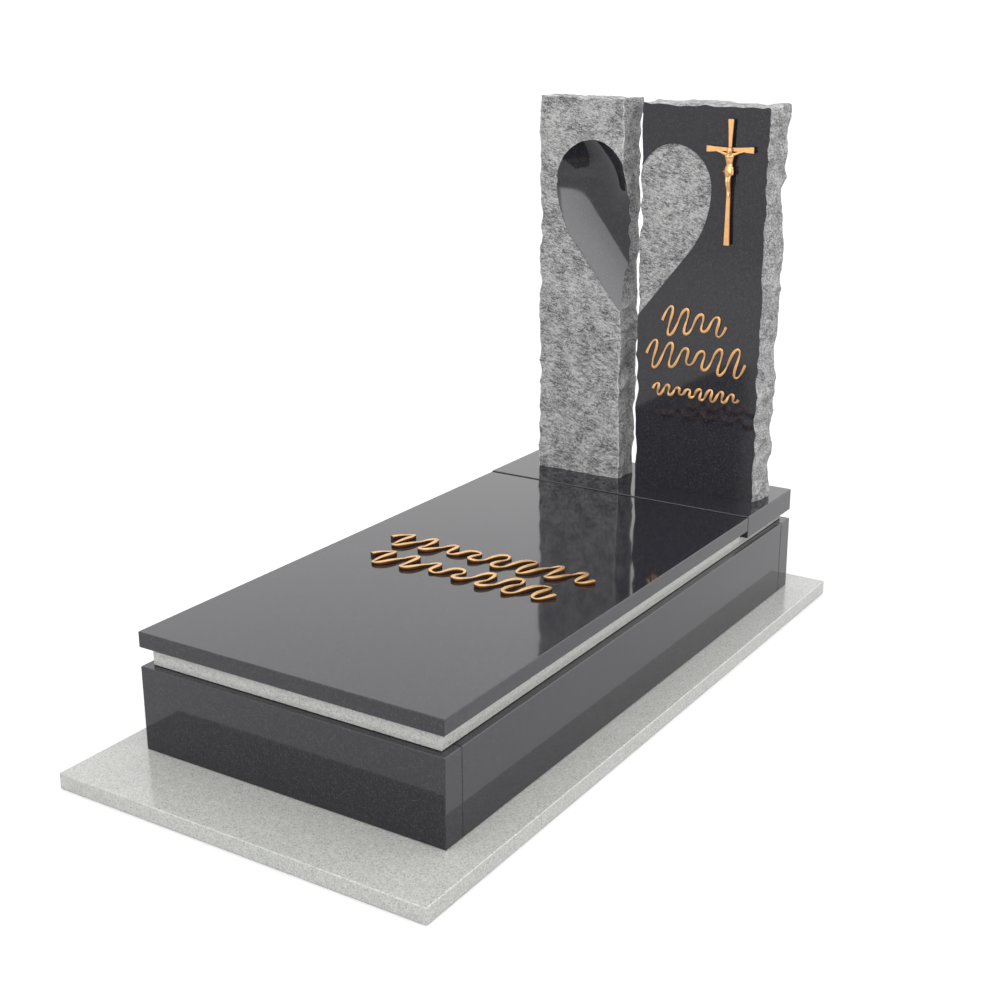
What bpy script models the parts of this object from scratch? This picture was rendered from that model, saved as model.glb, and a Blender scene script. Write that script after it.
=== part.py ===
"""Heart headstone: a kerbed single grave with two steles that form a heart between them.

Metres, +Z up, +X to the right and -Y to the front. The origin is under the middle of the
base border, on the ground.
"""
import math

import bmesh
import bpy
from mathutils import Vector

# Fit between pieces that touch, and the small chamfer on every sawn edge
GAP = 0.0003
ARRIS = 0.002

# Kerb: four boards on edge
KERB_W = 0.900
KERB_L = 1.900
KERB_H = 0.224
KERB_T = 0.066

# Base border: flat slabs that reach out from under the kerb
BASE_T = 0.042
BASE_FRONT = 0.203
BASE_SIDE = 0.091
BASE_REAR = 0.097
BASE_INSIDE = 0.030
BASE_FRONT_UNDER = 0.250

# Light strips between the kerb and the slabs above it, set back from the kerb's face
STRIP_IN = 0.022
STRIP_W = 0.044
STRIP_H = 0.049

# Ledger, and the thicker socle behind it
LEDGER_T = 0.042
SOCLE_L = 0.325
SOCLE_T = 0.067
SOCLE_RISE = 0.003
JOINT = 0.0015

# Steles
STELE_T = 0.100
STELE_SETBACK = 0.135
STELE_GAP = 0.065
PAIR_SHIFT = 0.025
LEFT_W = 0.285
LEFT_H = 1.172
RIGHT_H = 1.160

# Pitched edges: how far they wave, the length of a wave, and how far the sides belly out
PITCH_WAVE = 0.0055
PITCH_LENGTH = 0.056
PITCH_STEP = 0.020
PITCH_TURN = 2.4
# Waves that make up a pitched edge: share of its height, waves per length, turn of its phase
PITCH_WAVES = ((0.6, 1.0, 1.0), (0.4, 1.73, 2.3))
# Outlines from front to back: depth as a share of the thickness, share of the full belly
STELE_LAYERS = ((0.0, 0.0), (0.25, 0.6), (0.60, 0.9), (1.0, 1.0))
SIDE_BELLY = 0.012
TOP_BELLY = 0.003

# Heart: its two halves face each other over the gap
HEART_MARGIN = 0.0575
HEART_TOP = 0.110
HEART_SHAPE = 0.469
LOBE_SHAPE = 0.229
CLEFT_SHAPE = 1.3
SIDE_SHAPE = 0.5415
HOLLOW_DEPTH = 0.048
HOLLOW_RIM = 0.120
ROUGH_DEPTH = 0.003
HEART_STEPS = 16
CUTTER_REACH = 0.025

# Crucifix on the right stele
CROSS_CLEAR = 0.0605
CROSS_SIDE = 0.112
CROSS_TOP = 0.034
CROSS_H = 0.357
CROSS_W = 0.147
CROSS_BAR_DROP = 0.084
CROSS_END = 0.0178
CROSS_WAIST = 0.0098
CROSS_FLARE = 1.3
CROSS_T = 0.006
CROSS_STAND = 0.009
STUD_R = 0.004
FIGURE_SHARE = 0.40
FIGURE_RAISE = 0.084

# Gold strokes: height above the stone and width of a stroke
STELE_STROKE_T = 0.004
LEDGER_STROKE_T = 0.012
STELE_STROKE_W = 0.009
LEDGER_STROKE_W = 0.019
STROKE_SLANT = 0.35
# The lowest swing and the thinnest place as shares of the tallest and the widest, how quickly
# tall swings give way to low ones, and how much a wave's sides are drawn upright
STROKE_LOW = 0.45
STROKE_THIN = 0.50
STROKE_RHYTHM = 0.30
STROKE_UPRIGHT = 0.40

# Strokes on the right stele: margins left and right and half height as shares of its width,
# height of the middle as a share of its height, and number of waves
STELE_ROWS = {
    "script_row_1": (0.170, 0.225, 0.454, 0.1125, 4),
    "script_row_2": (0.045, 0.060, 0.362, 0.1100, 6),
    "script_row_3": (0.130, 0.125, 0.269, 0.0450, 8),
}
# Strokes on the ledger: margin at each side and half height as shares of the kerb's width,
# distance from the front as a share of its length, and number of waves
LEDGER_ROWS = {
    "ledger_row_1": (0.117, 0.455, 0.0555, 8),
    "ledger_row_2": (0.156, 0.382, 0.0555, 7),
}

# Levels and edges that follow from the sizes above
BASE_W = KERB_W + 2 * BASE_SIDE
BASE_L = KERB_L + BASE_FRONT + BASE_REAR
KERB_Y0 = -BASE_L / 2 + BASE_FRONT
KERB_Y1 = KERB_Y0 + KERB_L
KERB_Z0 = BASE_T + GAP
KERB_Z1 = KERB_Z0 + KERB_H
STRIP_Z0 = KERB_Z1 + GAP
LEDGER_Z0 = STRIP_Z0 + STRIP_H + GAP
LEDGER_Z1 = LEDGER_Z0 + LEDGER_T
SOCLE_Y0 = KERB_Y1 - SOCLE_L
SOCLE_Z1 = LEDGER_Z1 + SOCLE_RISE
SOCLE_Z0 = SOCLE_Z1 - SOCLE_T
STELE_Y0 = SOCLE_Y0 + STELE_SETBACK
STELE_Z0 = SOCLE_Z1 + GAP
HEART_HALF = LEFT_W + STELE_GAP / 2 - HEART_MARGIN
HEART_H = HEART_HALF / HEART_SHAPE
RIGHT_W = HEART_HALF - STELE_GAP / 2 + CROSS_CLEAR + CROSS_SIDE
PAIR_W = LEFT_W + STELE_GAP + RIGHT_W
LEFT_X0 = PAIR_SHIFT - PAIR_W / 2
LEFT_X1 = LEFT_X0 + LEFT_W
RIGHT_X0 = LEFT_X1 + STELE_GAP
RIGHT_X1 = RIGHT_X0 + RIGHT_W
HEART_X = LEFT_X1 + STELE_GAP / 2
HEART_TIP_Z = STELE_Z0 + RIGHT_H - HEART_TOP - HEART_H
CROSS_X = RIGHT_X1 - CROSS_SIDE
CROSS_Z1 = STELE_Z0 + RIGHT_H - CROSS_TOP


def clear_scene():
    for obj in list(bpy.data.objects):
        bpy.data.objects.remove(obj, do_unlink=True)


def finish(name, color, roughness, metallic=0.0):
    """A plain material in one colour."""
    material = bpy.data.materials.new(name)
    material.use_nodes = True
    shader = material.node_tree.nodes["Principled BSDF"]
    shader.inputs["Base Color"].default_value = (*color, 1.0)
    shader.inputs["Roughness"].default_value = roughness
    shader.inputs["Metallic"].default_value = metallic
    material.diffuse_color = (*color, 1.0)
    return material


def dark_granite(name):
    return finish(name + "_dark_granite", (0.035, 0.034, 0.038), 0.08)


def light_granite(name):
    return finish(name + "_light_granite", (0.50, 0.51, 0.48), 0.30)


def gold(name):
    return finish(name + "_gold", (0.83, 0.50, 0.17), 0.28, 1.0)


def add_object(name, mesh, material, location=(0, 0, 0)):
    obj = bpy.data.objects.new(name, mesh)
    bpy.context.scene.collection.objects.link(obj)
    obj.location = location
    if material:
        mesh.materials.append(material)
    return obj


def mesh_from(name, vertices, faces):
    """A mesh with its faces turned outward."""
    bm = bmesh.new()
    points = [bm.verts.new(v) for v in vertices]
    for face in faces:
        bm.faces.new([points[i] for i in face])
    bmesh.ops.recalc_face_normals(bm, faces=bm.faces)
    mesh = bpy.data.meshes.new(name)
    bm.to_mesh(mesh)
    bm.free()
    return mesh


def slab(name, low, high, material):
    """A sawn slab between two corners, with a chamfer on its edges."""
    low, high = Vector(low), Vector(high)
    half = (high - low) / 2
    corners = [(x, y, z) for x in (-half.x, half.x) for y in (-half.y, half.y) for z in (-half.z, half.z)]
    faces = [(0, 1, 3, 2), (4, 6, 7, 5), (0, 4, 5, 1), (2, 3, 7, 6), (0, 2, 6, 4), (1, 5, 7, 3)]
    obj = add_object(name, mesh_from(name, corners, faces), material, (low + high) / 2)
    chamfer = obj.modifiers.new("arris", "BEVEL")
    chamfer.width = ARRIS
    chamfer.segments = 1
    return obj


def hide_cutter(obj):
    obj.hide_render = True
    obj.display_type = "WIRE"


def cut(obj, cutter):
    """Takes the cutter's shape out of the object."""
    hide_cutter(cutter)
    boolean = obj.modifiers.new(cutter.name, "BOOLEAN")
    boolean.operation = "DIFFERENCE"
    boolean.solver = "EXACT"
    boolean.object = cutter


def weld(obj, extra):
    """Joins another shape to the object, as one casting."""
    hide_cutter(extra)
    boolean = obj.modifiers.new(extra.name, "BOOLEAN")
    boolean.operation = "UNION"
    boolean.solver = "EXACT"
    boolean.object = extra


def bridge(rings, close_ends=True):
    """Vertices and faces of a closed form through rings of equal length."""
    count = len(rings[0])
    vertices = [point for ring in rings for point in ring]
    faces = []
    for row in range(len(rings) - 1):
        for i in range(count):
            j = (i + 1) % count
            a = row * count
            faces.append((a + i, a + j, a + count + j, a + count + i))
    if close_ends:
        faces.append(tuple(range(count)))
        faces.append(tuple(range(len(vertices) - count, len(vertices))))
    return vertices, faces


# Base border, kerb and strips

def make_base():
    x0, x1 = -BASE_W / 2, BASE_W / 2
    y0, y1 = -BASE_L / 2, BASE_L / 2
    side = BASE_SIDE + KERB_T + BASE_INSIDE
    rear = BASE_REAR + KERB_T + BASE_INSIDE
    joint_y = KERB_Y0 + BASE_FRONT_UNDER
    slab("base_front", (x0, y0, 0), (x1, joint_y - GAP, BASE_T), light_granite("base_front"))
    slab("base_left", (x0, joint_y, 0), (x0 + side, y1, BASE_T), light_granite("base_left"))
    slab("base_right", (x1 - side, joint_y, 0), (x1, y1, BASE_T), light_granite("base_right"))
    low = (x0 + side + GAP, y1 - rear, 0)
    slab("base_rear", low, (x1 - side - GAP, y1, BASE_T), light_granite("base_rear"))


def make_kerb():
    x0, x1 = -KERB_W / 2, KERB_W / 2
    y0, y1 = KERB_Y0 + KERB_T, KERB_Y1 - KERB_T
    z0, z1 = KERB_Z0, KERB_Z1
    slab("kerb_front", (x0, KERB_Y0, z0), (x1, y0, z1), dark_granite("kerb_front"))
    slab("kerb_rear", (x0, y1, z0), (x1, KERB_Y1, z1), dark_granite("kerb_rear"))
    slab("kerb_left", (x0, y0 + GAP, z0), (x0 + KERB_T, y1 - GAP, z1), dark_granite("kerb_left"))
    slab("kerb_right", (x1 - KERB_T, y0 + GAP, z0), (x1, y1 - GAP, z1), dark_granite("kerb_right"))


def make_strips():
    x0, x1 = -KERB_W / 2 + STRIP_IN, KERB_W / 2 - STRIP_IN
    y0, y1 = KERB_Y0 + STRIP_IN, KERB_Y1 - STRIP_IN
    front = y0 + STRIP_W
    step = SOCLE_Y0 - JOINT
    rear = y1 - STRIP_W
    top, low = LEDGER_Z0 - GAP, SOCLE_Z0 - GAP
    stone = light_granite
    slab("strip_front", (x0, y0, STRIP_Z0), (x1, front, top), stone("strip_front"))
    slab("strip_left", (x0, front + GAP, STRIP_Z0), (x0 + STRIP_W, step, top), stone("strip_left"))
    slab("strip_right", (x1 - STRIP_W, front + GAP, STRIP_Z0), (x1, step, top), stone("strip_right"))
    step += GAP
    slab("socle_strip_left", (x0, step, STRIP_Z0), (x0 + STRIP_W, rear, low), stone("socle_strip_left"))
    slab("socle_strip_right", (x1 - STRIP_W, step, STRIP_Z0), (x1, rear, low), stone("socle_strip_right"))
    slab("socle_strip_rear", (x0, rear + GAP, STRIP_Z0), (x1, y1, low), stone("socle_strip_rear"))


def make_ledger():
    x0, x1 = -KERB_W / 2, KERB_W / 2
    slab("ledger", (x0, KERB_Y0, LEDGER_Z0), (x1, SOCLE_Y0 - JOINT, LEDGER_Z1), dark_granite("ledger"))
    slab("socle", (x0, SOCLE_Y0, SOCLE_Z0), (x1, KERB_Y1, SOCLE_Z1), dark_granite("socle"))


# Steles

def pitch(distance, phase):
    """How far a pitched edge stands out at a distance along it."""
    turn = 2 * math.pi * distance / PITCH_LENGTH
    height = sum(share * math.sin(rate * turn + shift * phase) for share, rate, shift in PITCH_WAVES)
    return PITCH_WAVE * height


def pitched_ring(x0, x1, height, y, side_belly, top_belly, phase):
    """One outline of a stele: up its left side, over the top and down its right side."""
    rows = max(2, round(height / PITCH_STEP))
    columns = max(2, round((x1 - x0) / PITCH_STEP))
    ring = []
    for i in range(rows):
        z = height * i / rows
        ring.append((x0 - side_belly - pitch(z, phase), y, STELE_Z0 + z))
    for i in range(columns + 1):
        along = (x1 - x0) * i / columns
        lean = side_belly * (2 * i / columns - 1)
        z = height + top_belly + pitch(along, phase + 1.1)
        ring.append((x0 + along + lean, y, STELE_Z0 + z))
    for i in range(rows - 1, -1, -1):
        z = height * i / rows
        ring.append((x1 + side_belly + pitch(z, phase + 2.7), y, STELE_Z0 + z))
    return ring


def stele_mesh(name, x0, x1, height, phase):
    """An upright block with flat faces and rock-pitched sides and top."""
    rings = []
    for number, (depth, belly) in enumerate(STELE_LAYERS):
        y = STELE_Y0 + depth * STELE_T
        ring_phase = phase + PITCH_TURN * number
        rings.append(pitched_ring(x0, x1, height, y, belly * SIDE_BELLY, belly * TOP_BELLY, ring_phase))
    vertices, faces = bridge(rings)
    return mesh_from(name, vertices, faces)


def heart_half(steps=HEART_STEPS):
    """Half of the heart's outline as (distance from its middle, height), from the tip up.

    A straight flank from the tip runs into a wide arc, that into the arc of the lobe, and
    from the lobe's top a steeper curve falls into the cleft.
    """
    lobe_r = LOBE_SHAPE * HEART_H
    side_r = SIDE_SHAPE * HEART_H
    center_z = HEART_TIP_Z + HEART_H - lobe_r
    side_center = HEART_HALF - side_r
    reach = math.hypot(side_center, center_z - HEART_TIP_Z)
    bearing = math.atan2(HEART_TIP_Z - center_z, -side_center)
    tangent = bearing + math.acos(min(1.0, side_r / reach))
    points = [(0.0, HEART_TIP_Z)]
    for i in range(steps + 1):
        angle = tangent * (1 - i / steps)
        points.append((side_center + side_r * math.cos(angle), center_z + side_r * math.sin(angle)))
    lobe_center = HEART_HALF - lobe_r
    for i in range(1, steps + 1):
        angle = math.pi / 2 * i / steps
        points.append((lobe_center + lobe_r * math.cos(angle), center_z + lobe_r * math.sin(angle)))
    inner = lobe_center - STELE_GAP / 5
    for i in range(1, steps + 1):
        angle = math.pi / 2 * i / steps
        drop = math.cos(angle) ** CLEFT_SHAPE if i < steps else 0.0
        points.append((lobe_center - inner * math.sin(angle), center_z + lobe_r * drop))
    return points


def height_at(branch, distance):
    """Height of a branch of the outline at a distance from the heart's middle."""
    for (d0, z0), (d1, z1) in zip(branch, branch[1:]):
        low, high = sorted((d0, d1))
        if low <= distance <= high and high > low:
            return z0 + (z1 - z0) * (distance - d0) / (d1 - d0)
    return branch[-1][1] if distance > branch[-1][0] else branch[0][1]


def distance_to(outline, d, z):
    """Shortest distance from a point to the outline."""
    best = 1.0
    for (d0, z0), (d1, z1) in zip(outline, outline[1:]):
        span = (d1 - d0) ** 2 + (z1 - z0) ** 2
        if span == 0:
            continue
        t = ((d - d0) * (d1 - d0) + (z - z0) * (z1 - z0)) / span
        t = min(1.0, max(0.0, t))
        best = min(best, math.hypot(d - d0 - t * (d1 - d0), z - z0 - t * (z1 - z0)))
    return best


def hollow_depth(outline, d, z):
    """Depth of the dished hollow: it falls away smoothly from the rim to its floor."""
    share = min(1.0, distance_to(outline, d, z) / HOLLOW_RIM)
    return HOLLOW_DEPTH * (1 - (1 - share) ** 2)


def hollow_cutter():
    """The dished half heart as a solid that stands out in front of the left stele."""
    fine = heart_half(48)
    widest = max(range(len(fine)), key=lambda i: fine[i][0])
    lower = fine[:widest + 1]
    upper = fine[widest:]
    near = fine[-1][0]
    columns, rows = HEART_STEPS, HEART_STEPS
    front_y = STELE_Y0 - CUTTER_REACH
    vertices = []
    for layer in ("floor", "front"):
        for i in range(columns):
            d = near + (HEART_HALF - near) * math.sin(0.5 * math.pi * i / columns)
            z0 = height_at(lower, d)
            z1 = height_at(upper, d)
            for j in range(rows + 1):
                z = z0 + (z1 - z0) * (0.5 - 0.5 * math.cos(math.pi * j / rows))
                rim = j in (0, rows)
                depth = 0.0 if rim else hollow_depth(fine, d, z)
                y = STELE_Y0 + depth if layer == "floor" else front_y
                vertices.append((HEART_X - d, y, z))
        y = STELE_Y0 if layer == "floor" else front_y
        vertices.append((HEART_X - HEART_HALF, y, fine[widest][1]))
    size = columns * (rows + 1) + 1
    stride = rows + 1
    faces = []
    for base in (0, size):
        for i in range(columns - 1):
            for j in range(rows):
                a = base + i * stride + j
                faces.append((a, a + 1, a + stride + 1, a + stride))
        last = base + (columns - 1) * stride
        for j in range(rows):
            faces.append((last + j, last + j + 1, base + size - 1))
    rim = list(range(stride))
    rim += [i * stride + rows for i in range(1, columns)]
    rim.append(size - 1)
    rim += [i * stride for i in range(columns - 1, 0, -1)]
    for a, b in zip(rim, rim[1:] + rim[:1]):
        faces.append((a, b, b + size, a + size))
    return add_object("hollow_cutter", mesh_from("hollow_cutter", vertices, faces), None)


def rough_cutter():
    """The flat half heart that is sunk a little into the right stele's face."""
    outline = heart_half()
    outline[0] = (outline[-1][0], height_at(outline[:2], outline[-1][0]))
    rings = []
    for y in (STELE_Y0 - CUTTER_REACH, STELE_Y0 + ROUGH_DEPTH):
        rings.append([(HEART_X + d, y, z) for d, z in outline])
    vertices, faces = bridge(rings)
    return add_object("rough_cutter", mesh_from("rough_cutter", vertices, faces), None)


def make_steles():
    left_mesh = stele_mesh("left_stele", LEFT_X0, LEFT_X1, LEFT_H, 0.4)
    left = add_object("left_stele", left_mesh, finish("rough_granite_left", (0.33, 0.34, 0.33), 0.8))
    cut(left, hollow_cutter())
    right_mesh = stele_mesh("right_stele", RIGHT_X0, RIGHT_X1, RIGHT_H, 3.1)
    right = add_object("right_stele", right_mesh, dark_granite("right_stele"))
    cut(right, rough_cutter())


# Crucifix

def cross_outline():
    """The cross's outline around its crossing: every arm widens from a waist to its end."""
    arms = (
        ((1, 0), CROSS_W / 2, CROSS_FLARE),
        ((0, 1), CROSS_BAR_DROP, CROSS_FLARE),
        ((-1, 0), CROSS_W / 2, CROSS_FLARE),
        ((0, -1), CROSS_H - CROSS_BAR_DROP, 1.5 * CROSS_FLARE),
    )
    steps = 6
    start = CROSS_WAIST / 2
    outline = []
    for (dx, dz), length, flare in arms:
        arm = []
        for i in range(steps + 1):
            share = i / steps
            half = start + (CROSS_END - CROSS_WAIST) / 2 * share ** flare
            arm.append((start + (length - start) * share, half))
        for along, half in arm:
            outline.append((along * dx + half * dz, along * dz - half * dx))
        for along, half in reversed(arm[1:]):
            outline.append((along * dx - half * dz, along * dz + half * dx))
    return outline


def tube(stations, sides=8):
    """A rounded form through stations of (center, half width, half depth).

    Stations lie one above the other, or side by side for a limb that runs along X.
    """
    rings = []
    first, last = Vector(stations[0][0]), Vector(stations[-1][0])
    run = (last - first).normalized()
    depth_axis = Vector((0, 1, 0))
    width_axis = depth_axis.cross(run).normalized()
    for center, half_width, half_depth in stations:
        ring = []
        for i in range(sides):
            angle = 2 * math.pi * (i + 0.5) / sides
            offset = width_axis * half_width * math.cos(angle) + depth_axis * half_depth * math.sin(angle)
            ring.append(tuple(Vector(center) + offset))
        rings.append(ring)
    return rings


def solid(name, rings, place):
    """A hidden shape from rings, moved to its place on the cross."""
    moved = [[tuple(Vector(point) + place) for point in ring] for ring in rings]
    vertices, faces = bridge(moved)
    return add_object(name, mesh_from(name, vertices, faces), None)


def figure_forms(height):
    """The small figure's forms, as shares of its height, about the top of its head.

    It hangs from raised arms, with its head a little bowed and its knees together.
    """
    h = height
    body = [
        ((0, 0, -0.125 * h), 0.030 * h, 0.030 * h),
        ((0, 0, -0.165 * h), 0.090 * h, 0.045 * h),
        ((0, -0.004 * h, -0.250 * h), 0.092 * h, 0.060 * h),
        ((0.004 * h, 0, -0.360 * h), 0.068 * h, 0.048 * h),
        ((0.002 * h, 0, -0.450 * h), 0.082 * h, 0.055 * h),
        ((-0.004 * h, -0.010 * h, -0.560 * h), 0.074 * h, 0.055 * h),
        ((-0.006 * h, -0.024 * h, -0.700 * h), 0.052 * h, 0.048 * h),
        ((-0.004 * h, -0.008 * h, -0.850 * h), 0.042 * h, 0.038 * h),
        ((0, 0, -0.940 * h), 0.032 * h, 0.030 * h),
        ((0, -0.010 * h, -1.000 * h), 0.030 * h, 0.026 * h),
    ]
    cloth = [
        ((0, 0, -0.430 * h), 0.084 * h, 0.060 * h),
        ((0, -0.004 * h, -0.470 * h), 0.102 * h, 0.070 * h),
        ((-0.006 * h, -0.010 * h, -0.560 * h), 0.098 * h, 0.068 * h),
        ((-0.010 * h, -0.012 * h, -0.620 * h), 0.078 * h, 0.060 * h),
    ]
    head = [
        ((0.010 * h, -0.056 * h, -0.036 * h), 0.024 * h, 0.024 * h),
        ((0.010 * h, -0.060 * h, -0.066 * h), 0.046 * h, 0.048 * h),
        ((0.010 * h, -0.064 * h, -0.110 * h), 0.048 * h, 0.050 * h),
        ((0.010 * h, -0.066 * h, -0.146 * h), 0.034 * h, 0.040 * h),
        ((0.010 * h, -0.062 * h, -0.176 * h), 0.018 * h, 0.024 * h),
    ]
    arms = []
    for side in (-1, 1):
        arms.append([
            ((side * 0.050 * h, 0, -0.190 * h), 0.038 * h, 0.036 * h),
            ((side * 0.110 * h, 0, -0.175 * h), 0.030 * h, 0.030 * h),
            ((side * 0.210 * h, 0, -0.142 * h), 0.024 * h, 0.024 * h),
            ((side * 0.320 * h, 0.004 * h, -0.108 * h), 0.018 * h, 0.018 * h),
            ((side * 0.375 * h, 0.006 * h, -0.092 * h), 0.022 * h, 0.012 * h),
        ])
    return [body, cloth, head] + arms


def stud_rings(sides=10):
    """A round stud between the stele's face and the middle of the cross's thickness."""
    rings = []
    for y in (-CROSS_STAND - CROSS_T / 2, -GAP):
        ring = []
        for i in range(sides):
            angle = 2 * math.pi * i / sides
            ring.append((STUD_R * math.cos(angle), y, STUD_R * math.sin(angle)))
        rings.append(ring)
    return rings


def make_crucifix():
    """Cross, figure and studs, cast as one."""
    crossing = Vector((CROSS_X, STELE_Y0 - CROSS_STAND, CROSS_Z1 - CROSS_BAR_DROP))
    outline = cross_outline()
    rings = []
    for y in (-CROSS_T, 0.0):
        rings.append([tuple(crossing + Vector((x, y, z))) for x, z in outline])
    vertices, faces = bridge(rings)
    cross = add_object("crucifix", mesh_from("crucifix", vertices, faces), gold("crucifix"))
    figure_h = FIGURE_SHARE * CROSS_H
    head_top = crossing + Vector((0, -CROSS_T, FIGURE_RAISE * figure_h))
    for index, stations in enumerate(figure_forms(figure_h)):
        weld(cross, solid("figure_%d" % index, tube(stations), head_top))
    studs = (("top_stud", CROSS_Z1 - CROSS_END), ("low_stud", CROSS_Z1 - CROSS_H + CROSS_END))
    for name, stud_z in studs:
        weld(cross, solid(name, stud_rings(), Vector((CROSS_X, STELE_Y0, stud_z))))


# Gold strokes

def stroke_path(length, half_height, waves, steps=10):
    """A running wave as (along, across, share of full width), slanted like handwriting."""
    room = length - 2 * STROKE_SLANT * half_height
    path = []
    for i in range(waves * steps + 1):
        turn = 2 * math.pi * i / steps
        half_wave = int(2 * i / steps)
        tall = STROKE_LOW + (1 - STROKE_LOW) * abs(math.cos(STROKE_RHYTHM * half_wave))
        across = half_height * tall * math.sin(turn)
        along = (turn - STROKE_UPRIGHT * math.sin(2 * turn)) / (2 * math.pi * waves)
        share = STROKE_THIN + (1 - STROKE_THIN) * abs(math.cos(turn))
        path.append((room * along + STROKE_SLANT * (half_height + across), across, share))
    return path


def stroke_rings(path, width, thickness):
    """Sections of a flat ribbon along a path, in (along, across, height)."""
    rings = []
    for i, (u, v, share) in enumerate(path):
        before = path[max(0, i - 1)]
        after = path[min(len(path) - 1, i + 1)]
        du, dv = after[0] - before[0], after[1] - before[1]
        size = math.hypot(du, dv)
        half = width * share / 2
        nu, nv = -dv / size * half, du / size * half
        rings.append([(u - nu, v - nv, 0), (u + nu, v + nv, 0), (u + nu, v + nv, thickness),
                      (u - nu, v - nv, thickness)])
    return rings


def make_rows():
    for name, (left, right, middle, half_height, waves) in STELE_ROWS.items():
        path = stroke_path(RIGHT_W * (1 - left - right), RIGHT_W * half_height, waves)
        corner = Vector((RIGHT_X0 + RIGHT_W * left, STELE_Y0 - GAP, STELE_Z0 + RIGHT_H * middle))
        rings = []
        for ring in stroke_rings(path, STELE_STROKE_W, STELE_STROKE_T):
            rings.append([tuple(corner + Vector((u, -w, v))) for u, v, w in ring])
        vertices, faces = bridge(rings)
        add_object(name, mesh_from(name, vertices, faces), gold(name))
    for name, (side, from_front, half_height, waves) in LEDGER_ROWS.items():
        path = stroke_path(KERB_W * (1 - side - side), KERB_W * half_height, waves)
        corner = Vector((KERB_W * (side - 1 / 2), KERB_Y0 + KERB_L * from_front, LEDGER_Z1 + GAP))
        rings = []
        for ring in stroke_rings(path, LEDGER_STROKE_W, LEDGER_STROKE_T):
            rings.append([tuple(corner + Vector((u, v, w))) for u, v, w in ring])
        vertices, faces = bridge(rings)
        add_object(name, mesh_from(name, vertices, faces), gold(name))


def main():
    clear_scene()
    make_base()
    make_kerb()
    make_strips()
    make_ledger()
    make_steles()
    make_crucifix()
    make_rows()


main()
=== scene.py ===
# %% [markdown]
# # A heart headstone in granite
# The monument is a kerbed single grave. A light border lies on the ground, a dark kerb
# stands on it, and a polished ledger closes the top. Two upright steles stand at the head,
# and each carries half of a heart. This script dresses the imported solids: it keeps the
# sawn slabs as they are and models the split stone, the castings and the gold anew.
#
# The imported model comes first, because every piece takes its place from it.

import math

import bmesh
import bpy
import numpy as np
from mathutils import Euler, Matrix, Vector, noise


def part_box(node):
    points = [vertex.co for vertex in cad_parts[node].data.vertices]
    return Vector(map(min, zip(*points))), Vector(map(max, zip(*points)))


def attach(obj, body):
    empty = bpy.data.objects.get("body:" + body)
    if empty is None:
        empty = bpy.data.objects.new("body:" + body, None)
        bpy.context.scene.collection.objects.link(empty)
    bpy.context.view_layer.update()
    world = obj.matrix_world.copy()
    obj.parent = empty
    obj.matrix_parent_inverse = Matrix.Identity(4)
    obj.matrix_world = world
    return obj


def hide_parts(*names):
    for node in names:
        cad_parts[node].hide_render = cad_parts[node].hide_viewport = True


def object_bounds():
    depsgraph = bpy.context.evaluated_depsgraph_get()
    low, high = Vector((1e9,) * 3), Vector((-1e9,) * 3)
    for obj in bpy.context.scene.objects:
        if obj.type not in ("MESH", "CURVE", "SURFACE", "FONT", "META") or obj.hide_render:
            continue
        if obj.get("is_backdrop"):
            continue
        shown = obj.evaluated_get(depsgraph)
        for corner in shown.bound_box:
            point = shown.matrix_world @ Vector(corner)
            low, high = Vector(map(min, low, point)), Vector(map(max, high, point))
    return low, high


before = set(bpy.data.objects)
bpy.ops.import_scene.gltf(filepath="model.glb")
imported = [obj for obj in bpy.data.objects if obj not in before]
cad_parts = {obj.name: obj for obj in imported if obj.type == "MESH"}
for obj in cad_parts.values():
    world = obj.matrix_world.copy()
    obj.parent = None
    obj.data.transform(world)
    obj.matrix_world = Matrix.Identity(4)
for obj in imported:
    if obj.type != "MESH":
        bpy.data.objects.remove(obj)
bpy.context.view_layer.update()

# %% [markdown]
# ## Camera
# The monument is looked at from the right of its foot, a little above the steles' middle.
# The place, the angle and the lens were worked out from the corners of the slabs, so they
# are plain numbers here. A lens of 54 mm on a 36 mm sensor is close to what a
# photographer would use for an object this long.

# %% Place the camera
CAMERA_PLACE = (2.1201, -3.2709, 1.7819)
CAMERA_TURN = (1.2583, 0.0041, 0.5702)
CAMERA_LENS = 54.505
CAMERA_SENSOR = 36.0

camera = bpy.data.objects.new("camera", bpy.data.cameras.new("camera"))
bpy.context.scene.collection.objects.link(camera)
camera.location = CAMERA_PLACE
camera.rotation_euler = Euler(CAMERA_TURN, "XYZ")
camera.data.lens = CAMERA_LENS
camera.data.sensor_width = CAMERA_SENSOR
bpy.context.scene.camera = camera
print("camera is", round(camera.location.length, 2), "m from the middle of the base")

# %% [markdown]
# ## Light
# Polished dark stone shows what stands around it more than its own colour. A white
# world gives the ledger its grey sheen. It is brighter towards the upper right, so the
# tops and the right sides of the stones come out lighter than their fronts. One big
# softbox stands in front, with its lower edge at the height of the dish: the dish
# mirrors it as a pale zone with a crisp border. The "Standard" view keeps white white.

# %% Build the studio
SKY = 1.40
SKY_RIGHT = 1.90
SKY_FROM, SKY_TO = -0.2, 1.0
RIGHT_WAY = Vector((0.62, -0.08, 0.78)).normalized()
SOFTBOX_AIM = Vector((-0.20, 0.82, 1.20))
SOFTBOX_AWAY = 6.0
SOFTBOX_BEARING = math.radians(14)
SOFTBOX_SIZE = (7.8, 5.4)
SOFTBOX_POWER = 370.0

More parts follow.
